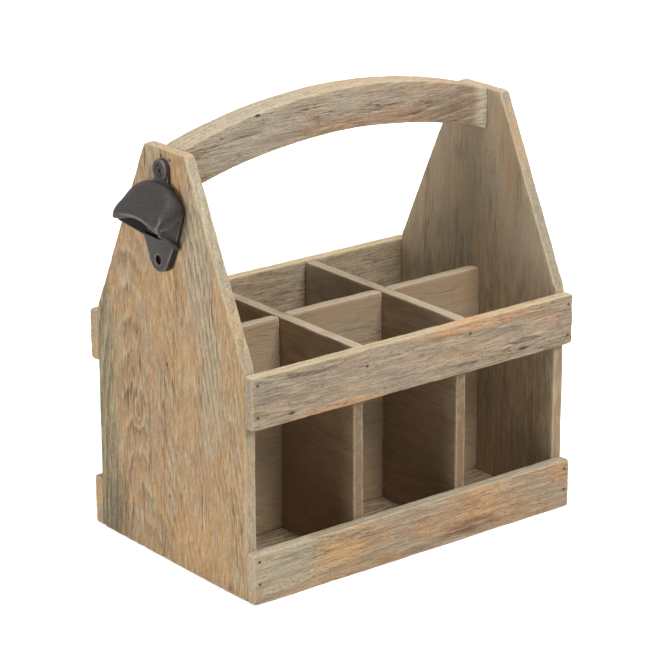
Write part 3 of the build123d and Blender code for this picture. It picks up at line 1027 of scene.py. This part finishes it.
iron = {
    "specular": 0.4,
    "cloudNoise": (3.0, 0.55, 0.12),       # detail, roughness, scale
    "gritNoise": (3.0, 0.65, 1.0),
    "low": (46, 42, 40),
    "high": (56, 51, 48),
    "highStep": (0.35, 0.65),
    # Coats, the last of them painted shade: where each begins to show and where it is full, strength,
    # colour
    "coats": {
        "pit": (0.5, 0.6, 0.7, (30, 26, 24)),
        "grit": (0.44, 0.36, 0.35, (88, 82, 78)),
        # wear on the arrises, partly real and partly a painted highlight along them
        "wearAndSheen": (0.25, 0.75, 0.6, (112, 106, 102)),
        # painted shade: a dark tone where the casting keeps the light from above off itself
        "paintedShade": (0.5, 0.8, 0.95, (22, 17, 14)),
    },
    "bump": 0.5,
    "bumpStrength": 0.9,
}


def prism(outline, low, high, crown=0.0, cuts=0):
    # a closed slab from the gable's face outwards: outline in (y, z), its front bulging by crown
    shell = bmesh.new()
    rows = []
    for reach in (low, high):
        rows.append([shell.verts.new((-reach, y, z)) for y, z in outline])
    for row in rows:
        shell.faces.new(row)
    wallBetween(shell, *rows)
    bmesh.ops.recalc_face_normals(shell, faces=shell.faces)
    if crown:
        half = max(y for y, z in outline)
        for n in range(-cuts, cuts + 1):
            middle = (0, half * n / (cuts + 1), 0)
            bmesh.ops.bisect_plane(shell, geom=everything(shell), plane_co=middle, plane_no=(0, 1, 0))
        for vert in shell.verts:
            if vert.co.x < -low - 0.01:
                vert.co.x += crown * abs(vert.co.y / half) ** 1.6
    return shell


def lathe(profile, segments=32):
    # a closed turned solid round the X axis: profile in (reach, radius)
    solid = bmesh.new()
    rings = []
    for reach, radius in profile:
        if radius == 0:
            rings.append([solid.verts.new((-reach, 0, 0))])
            continue
        ring = []
        for n in range(segments):
            angle = 2 * math.pi * n / segments
            ring.append(solid.verts.new((-reach, radius * math.cos(angle), radius * math.sin(angle))))
        rings.append(ring)
    for first, second in zip(rings[:-1], rings[1:]):
        for n in range(segments):
            m = n + 1
            corners = [first[n % len(first)], first[m % len(first)]]
            corners += [second[m % len(second)], second[n % len(second)]]
            face = list(dict.fromkeys(corners))
            if len(face) > 2:
                solid.faces.new(face)
    bmesh.ops.recalc_face_normals(solid, faces=solid.faces)
    return solid


def joinShells(name, shells):
    # one object in millimetres from several closed shells
    joined = bmesh.new()
    for shell in shells:
        mesh = bpy.data.meshes.new("shell")
        shell.to_mesh(mesh)
        joined.from_mesh(mesh)
        shell.free()
        bpy.data.meshes.remove(mesh)
    mesh = bpy.data.meshes.new(name)
    joined.to_mesh(mesh)
    joined.free()
    return newPiece(name, mesh)


def cutAway(thing, shell):
    # takes a closed shell out of a piece
    tool = joinShells("cutter", [shell])
    modifier = thing.modifiers.new("cut", "BOOLEAN")
    modifier.operation = "DIFFERENCE"
    modifier.solver = "EXACT"
    modifier.object = tool
    bake(thing)
    bpy.data.objects.remove(tool)


def bake(thing):
    # the modifiers' result becomes the object's own mesh
    evaluated = thing.evaluated_get(bpy.context.evaluated_depsgraph_get())
    mesh = bpy.data.meshes.new_from_object(evaluated)
    thing.modifiers.clear()
    thing.data = mesh
    return thing


def hoodShell(look, top, reach):
    # rows run from the gable to the lip and then down the lip's face, columns from side to side
    columns = look["columns"]
    sideRows = look["sideRows"]
    bead = look["bead"]

    def section(share, crest, sideTop, sideBottom, half, squareness):
        points = []
        widest = min(0.5 * bead, 0.2 * (sideBottom - sideTop))
        flare = [widest * math.cos(math.pi / 2 * n / sideRows) for n in range(sideRows)]
        for n in range(sideRows):
            points.append((-half - flare[n], sideBottom + (sideTop - sideBottom) * n / sideRows))
        for n in range(columns + 1):
            angle = math.pi * (1 - n / columns)
            across = math.cos(angle)
            power = 2 / squareness
            y = half * math.copysign(abs(across) ** power, across)
            rise = abs(math.sin(angle)) ** power
            points.append((y, sideTop + (crest - sideTop) * rise))
        for n in range(sideRows):
            points.append((half + flare[-1 - n], sideTop + (sideBottom - sideTop) * (n + 1) / sideRows))
        return [(share * (reach - bead), y, top - drop) for y, drop in points]

    stations = look["hood"]
    shares = np.linspace(0, 1, look["rows"])
    known = [row[0] for row in stations]
    fine = [smoothThrough(known, [row[n] for row in stations], shares) for n in range(1, 6)]
    rows = [section(*values) for values in zip(shares, *fine)]
    lip = rows[-1]
    corner = min(point[2] for point in lip)
    crest = max(point[2] for point in lip) - look["beadHeight"]
    half = max(point[1] for point in lip)
    for n in range(1, look["lipRows"] + 1):
        share = n / look["lipRows"]
        row = []
        for x, y, z in lip:
            edge = corner + (crest - corner) * (0.5 + 0.5 * math.cos(math.pi * y / half))
            height = max(z - edge, 0)
            out = bead * min(height / look["beadHeight"], 1) * math.sin(math.pi * share)
            row.append((x + out, y, z - height * share))
        rows.append(row)
    shell = bmesh.new()
    grid = [[shell.verts.new((-x, y, z)) for x, y, z in row] for row in rows]
    for upper, lowerRow in zip(grid[:-1], grid[1:]):
        for n in range(len(upper) - 1):
            shell.faces.new((upper[n], upper[n + 1], lowerRow[n + 1], lowerRow[n]))
    bmesh.ops.remove_doubles(shell, verts=shell.verts, dist=0.01)
    bmesh.ops.recalc_face_normals(shell, faces=shell.faces)
    return shell


def stayShells(look, top):
    # a bar on each side from the lip's corner down to the lug
    shells = []
    for side, stations in look["stays"].items():
        bar = bmesh.new()
        rings = []
        for reach, out, lowDrop, highDrop in stations:
            ring = []
            for across, drop in ((-0.5, lowDrop), (0.5, lowDrop), (0.5, highDrop), (-0.5, highDrop)):
                y = side * (out + across * look["stayThickness"])
                ring.append(bar.verts.new((-reach, y, top - drop)))
            rings.append(ring)
            bar.faces.new(ring)
        wallBetween(bar, *rings)
        bmesh.ops.recalc_face_normals(bar, faces=bar.faces)
        shells.append(bar)
    return shells


def smoothThrough(places, values, wanted):
    # a smooth curve through the stations (Catmull-Rom)
    made = []
    for place in wanted:
        n = min(max(int(np.searchsorted(places, place)) - 1, 0), len(places) - 2)
        share = (place - places[n]) / (places[n + 1] - places[n])
        p0, p1 = values[max(n - 1, 0)], values[n]
        p2, p3 = values[n + 1], values[min(n + 2, len(values) - 1)]
        made.append(0.5 * (
            2 * p1 + (p2 - p0) * share + (2 * p0 - 5 * p1 + 4 * p2 - p3) * share**2
            + (3 * p1 - p0 - 3 * p2 + p3) * share**3
        ))
    return made


def neckShell(look, top):
    # a ridge that rises from the ear to the hood's crest
    ridge = bmesh.new()
    for reach, drop, half in look["neck"]:
        for n in range(look["neckPieces"] + 1):
            angle = math.pi * n / look["neckPieces"]
            ridge.verts.new((-(reach * math.sin(angle) + 0.01), half * math.cos(angle), top - drop))
    for station in (-1, 0):
        ridge.verts.new((0.2, 0, top - look["neck"][station][1]))
    bmesh.ops.convex_hull(ridge, input=ridge.verts)
    bmesh.ops.recalc_face_normals(ridge, faces=ridge.faces)
    return ridge


def roughCastTree():
    tree, graph, wires = treeWithSockets("rough casting", {
        "Geometry": "NodeSocketGeometry",
        "Depth": "NodeSocketFloat",
        "Material": "NodeSocketMaterial",
    })
    here = graph.node("GeometryNodeInputPosition", {}, {})
    facing = graph.node("GeometryNodeInputNormal", {}, {})
    grit = graph.noise(here, *opener["grainNoise"])
    lumps = graph.noise(here, *opener["lumpNoise"])
    share = opener["grainShare"]
    loss = (grit * share + lumps * (1 - share)) * wires["Depth"]
    shift = graph.scaled(facing, -loss)
    moved = graph.node("GeometryNodeSetPosition", {}, {"Geometry": wires["Geometry"], "Offset": shift})
    endTree(graph, moved, wires["Material"])
    return tree


def ironMaterial(look):
    paint = Paint("cast_iron_finish", look["specular"])
    place = paint.place()
    cloud = paint.noise(place, *look["cloudNoise"])
    grit = paint.noise(place, *look["gritNoise"])
    shade = paint.tint(paint.step(cloud, *look["highStep"]), colour(*look["low"]), look["high"])
    causes = {
        "pit": grit,
        "grit": grit,
        # the ridges' coat is partly real wear and partly a painted highlight
        "wearAndSheen": paint.mark("ridge") + (grit - 0.5) * 0.5,
        # the casting's own shade, painted as a dark coat in its hollows and under the hood
        "paintedShade": paint.mark("shadeMask"),
    }
    covers = {}
    for kind, (begins, full, strength, tone) in look["coats"].items():
        covers[kind] = paint.step(causes[kind], begins, full)
        shade = paint.tint(covers[kind] * strength, shade, tone)
    wearAndSheen, paintedShade = covers["wearAndSheen"], covers["paintedShade"]
    return paint.finish({
        "Base Color": shade,
        "Metallic": 0.25 + wearAndSheen * 0.3 - paintedShade * 0.2,
        "Roughness": 0.56 - wearAndSheen * 0.12 + (cloud - 0.5) * 0.2,
        "Normal": paint.bump(grit, look["bump"], look["bumpStrength"]),
    })


def markSurface(mesh, look):
    # for each point, how sharply it stands out, 0 flat to 1 at an arris, and how much of the light
    # from above the casting itself keeps off, which the iron's colour shows as painted shade
    count = len(mesh.vertices)
    points = np.empty(count * 3)
    mesh.vertices.foreach_get("co", points)
    points = points.reshape(-1, 3) / mm
    normals = np.array([vert.normal for vert in mesh.vertices])
    ends = np.empty(len(mesh.edges) * 2, dtype=int)
    mesh.edges.foreach_get("vertices", ends)
    ends = ends.reshape(-1, 2)
    degree = np.bincount(ends.ravel(), minlength=count)[:, None]

    def around(values):
        total = np.zeros_like(values)
        np.add.at(total, ends[:, 0], values[ends[:, 1]])
        np.add.at(total, ends[:, 1], values[ends[:, 0]])
        return total / degree

    bulge = -np.sum((around(points) - points) * normals, axis=1, keepdims=True)
    for _ in range(look["blurring"]):
        bulge = 0.5 * bulge + 0.5 * around(bulge)
    solid = bmesh.new()
    solid.from_mesh(mesh)
    tree = BVHTree.FromBMesh(solid)
    solid.free()
    order = np.arange(look["looks"])
    heights = 2 * (order + 0.5) / look["looks"] - 1
    turns = order * 2.39996                # the golden angle spreads them evenly
    spans = np.sqrt(1 - heights**2)
    rays = [Vector(ray) for ray in zip(spans * np.cos(turns), spans * np.sin(turns), heights)]
    shadeMask = np.zeros((count, 1))
    for vert in mesh.vertices:
        start = vert.co + vert.normal * look["lookFrom"] * mm
        seen = [ray for ray in rays if ray @ vert.normal > look["lookOut"] and ray.z > look["lookUp"]]
        blocked = sum(tree.ray_cast(start, ray, look["lookFar"] * mm)[0] is not None for ray in seen)
        shadeMask[vert.index] = blocked / len(seen) if seen else 1
    for _ in range(look["blurring"]):
        shadeMask = 0.5 * shadeMask + 0.5 * around(shadeMask)
    addMark(mesh, "ridge", np.clip(bulge / look["sharpBend"], 0, 1)[:, 0])
    addMark(mesh, "shadeMask", shadeMask[:, 0])


def makeOpener(look):
    low, high = cadSpan("bottle_opener")
    top, bottom = high[2], low[2]
    reach = high[0] - low[0]

    def onCircle(middle, radius, angles):
        return [(radius * math.cos(t), middle + radius * math.sin(t)) for t in angles]

    ear = look["earHalfWidth"]
    left = onCircle(top - ear, ear, np.linspace(math.pi / 2, 0, 12))
    left += [(y, top - drop) for y, drop in look["flare"]]
    plate = prism(left + [(-y, z) for y, z in reversed(left)], 0, look["plate"])
    ring = onCircle(top - ear, ear, np.linspace(0, 2 * math.pi, 33)[:-1])
    boss = prism(ring, 0, look["earThickness"])
    lugMiddle = bottom + look["lugRadius"]
    lugTop = top - look["lugTop"]
    half = look["lugHalfWidth"]
    drop = lugTop - look["lugShoulder"] - lugMiddle
    tilt = math.atan2(drop, half) - math.acos(look["lugRadius"] / math.hypot(drop, half))
    end = onCircle(lugMiddle, look["lugRadius"], np.linspace(tilt, -math.pi / 2, 14))
    left = [(half, lugTop), (half, lugTop - look["lugShoulder"])] + end
    outline = left + [(-y, z) for y, z in reversed(left[:-1])]
    lug = prism(outline, 0, look["lugThickness"], look["lugCrown"], look["crownCuts"])
    hood = joinShells("hood", [hoodShell(look, top, reach)])
    wall = hood.modifiers.new("wall", "SOLIDIFY")
    wall.thickness = look["hoodWall"]
    wall.offset = -1
    wall.use_even_offset = True
    bake(hood)
    hollow = bmesh.new()
    hollow.from_mesh(hood.data)
    bpy.data.objects.remove(hood)
    bmesh.ops.bisect_plane(
        hollow, geom=everything(hollow), plane_co=(0, 0, 0), plane_no=(1, 0, 0), clear_outer=True
    )
    bmesh.ops.holes_fill(hollow, edges=[edge for edge in hollow.edges if edge.is_boundary])
    bmesh.ops.recalc_face_normals(hollow, faces=hollow.faces)
    shells = [plate, boss, lug, hollow, neckShell(look, top), *stayShells(look, top)]
    casting = joinShells("opener_casting", shells)

    def remesh():
        modifier = casting.modifiers.new("fuse", "REMESH")
        modifier.mode = "VOXEL"
        modifier.voxel_size = look["voxel"]

    remesh()
    bake(casting)
    recess, pocket, hole = look["recessRadius"], look["pocketRadius"], look["screwHole"]
    past = -look["cutPast"]
    earFace = look["earThickness"]
    outside = earFace + 3 * look["cutPast"]
    earCut = lathe([
        (outside, 0), (outside, recess + look["cutPast"]), (earFace, recess),
        (earFace - look["recessDepth"], hole), (past, hole), (past, 0),
    ])
    outside = look["lugThickness"] + 1.5 * look["cutPast"]
    pocketFloor = look["lugThickness"] - look["pocketDepth"]
    lugCut = lathe([
        (outside, 0), (outside, pocket), (pocketFloor, pocket),
        (pocketFloor, hole), (past, hole), (past, 0),
    ])
    for cutter, height in ((earCut, top - look["earScrewDrop"]), (lugCut, bottom + look["pocketRise"])):
        bmesh.ops.translate(cutter, verts=cutter.verts, vec=(0, 0, height))
        cutAway(casting, cutter)
    remesh()
    smooth = casting.modifiers.new("soften", "SMOOTH")
    smooth.factor = 0.5
    smooth.iterations = look["softening"]
    bake(casting)
    casting.data.transform(Matrix.Translation((high[0], 0, 0)))
    casting.data.transform(Matrix.Scale(mm, 4))
    markSurface(casting.data, look)
    finish = ironMaterial(iron)
    throughTree(casting, roughCastTree(), {"Depth": look["roughCast"] * mm, "Material": finish})
    casting.data.shade_smooth()
    settle(casting, "cast_iron", "bottle_opener")
    print("opener", len(casting.data.polygons))


# Screws: a raised head in the ear and a low one deep in the lug's pocket, each with a cross recess

screwShape = {
    "point": 3,
    "shank": 2.0,
    "tip": 0.4,
    "turn": 0.5,
    "tones": [(66, 61, 57), (46, 38, 32)],
}
screws = {                                 # head: (rise, radius), cross: length, width, depth
    "opener_ear_screw": {
        "head": [(0.9, 0), (0.85, 1.6), (0.6, 3.0), (0.0, 4.4), (-2.3, 2.0)],
        "cross": (4.6, 1.1, 1.3),
    },
    "opener_lug_screw": {
        "head": [(1.8, 0), (1.75, 1.8), (1.4, 2.8), (0.9, 3.2), (0.0, 3.2), (0.0, 2.0)],
        "cross": (3.6, 0.9, 1.2),
    },
}


def makeScrews():
    material = steelMaterial("screw_finish", *screwShape["tones"])
    for node, look in screws.items():
        low, high = cadSpan(node)
        face = -low[0] - look["head"][0][0]
        middle = (low[2] + high[2]) / 2
        tip = high[0]
        profile = [(face + rise, radius) for rise, radius in look["head"]]
        shankEnd = (screwShape["point"] - tip, screwShape["shank"])
        profile += [shankEnd, (-tip, screwShape["tip"]), (-tip, 0)]
        screw = joinShells(node + "_steel", [lathe(profile)])
        long, wide, deep = look["cross"]
        for turn in (0, 1):
            slot = bmesh.new()
            bmesh.ops.create_cube(slot, size=1)
            size = (2 * deep, long, wide) if turn else (2 * deep, wide, long)
            bmesh.ops.scale(slot, verts=slot.verts, vec=size)
            bmesh.ops.rotate(slot, verts=slot.verts, matrix=Matrix.Rotation(screwShape["turn"], 3, "X"))
            bmesh.ops.translate(slot, verts=slot.verts, vec=(low[0], 0, 0))
            cutAway(screw, slot)
        screw.data.transform(Matrix.Translation((0, 0, middle)))
        screw.data.transform(Matrix.Scale(mm, 4))
        screw.data.materials.clear()
        screw.data.materials.append(material)
        settle(screw, "screw_steel", node)
    print("screws ready")


# The floor and the sky, white to the camera

def seenRays(graph):
    # 1 for what the camera, a reflection or a glass sees, 0 for light that bounces
    rays = graph.tree.nodes.new("ShaderNodeLightPath")
    camera, glossy, through = [
        Wire(graph, rays.outputs[f"Is {kind} Ray"]) for kind in ("Camera", "Glossy", "Transmission")
    ]
    return graph.higher(graph.higher(camera, glossy), through)


def makeStudio(settings):
    size = settings["floorSize"] / 2 * mm
    level = -settings["floorDrop"] * mm
    mesh = bpy.data.meshes.new("floor")
    corners = [(-size, -size, level), (size, -size, level), (size, size, level), (-size, size, level)]
    mesh.from_pydata(corners, [], [(0, 1, 2, 3)])
    floor = newPiece("floor", mesh)
    paint = Paint("floor", 0.0)
    paint.shader.inputs["Emission Strength"].default_value = 1
    far = paint.node("ShaderNodeVectorMath", {"operation": "LENGTH"}, {0: paint.place()}, "Value")
    lift = paint.step(far, *settings["farReach"]) * settings["farLift"]
    mesh.materials.append(paint.finish({
        "Base Color": colour(*settings["floorColour"]),
        "Roughness": 1.0,
        "Emission Color": seenRays(paint) * (lift + settings["floorLift"]),
    }))
    world = bpy.data.worlds.new("sky")
    world.use_nodes = True
    scene.world = world
    sky = Graph(world.node_tree)
    background = world.node_tree.nodes["Background"]
    background.inputs["Color"].default_value = (*settings["skyColour"], 1)
    strength = settings["skyStrength"]
    sky.join(seenRays(sky) * (1 - strength) + strength, background.inputs["Strength"])


scene.view_settings.view_transform = "Standard"
makeCamera(view)
makeLamps(studio["lamps"])
makeStudio(studio)
print("studio ready")
makeBoards()
makePins()
makeOpener(opener)
makeScrews()
